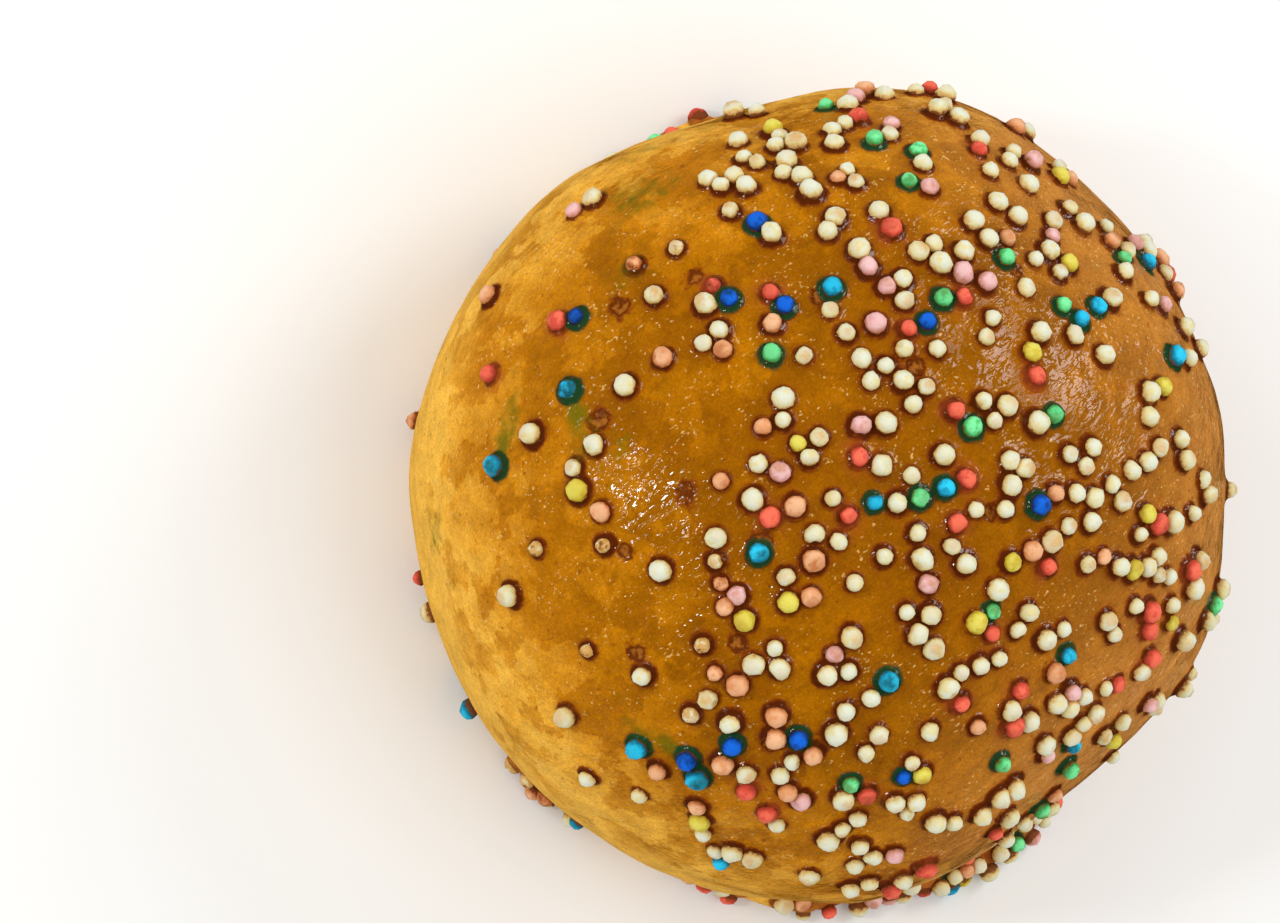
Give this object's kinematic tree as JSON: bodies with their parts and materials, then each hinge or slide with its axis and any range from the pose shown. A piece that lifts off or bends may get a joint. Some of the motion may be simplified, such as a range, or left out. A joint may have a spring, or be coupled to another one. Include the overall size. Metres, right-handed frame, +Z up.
{
  "type": "confetti bread roll",
  "caption": "Round soft bread roll with a glossy browned egg-wash crust, strewn with small sugar beads in mixed colours that lie thickest on one side.",
  "frame": {"origin": "middle of the flat base, which rests on the table", "axes": "+Z up through the crown, +X towards the side where the beads lie thickest"},
  "size_m": [0.0828, 0.0847, 0.052],
  "materials": {
    "crust": "glossy egg-wash glaze, mottled golden to brown",
    "sugar_beads": "matte baked sugar, mostly cream, with red, pink, peach, yellow, green, cyan and blue"
  },
  "bodies": {
    "root": {"roll": "crust"}
  },
  "joints": []
}
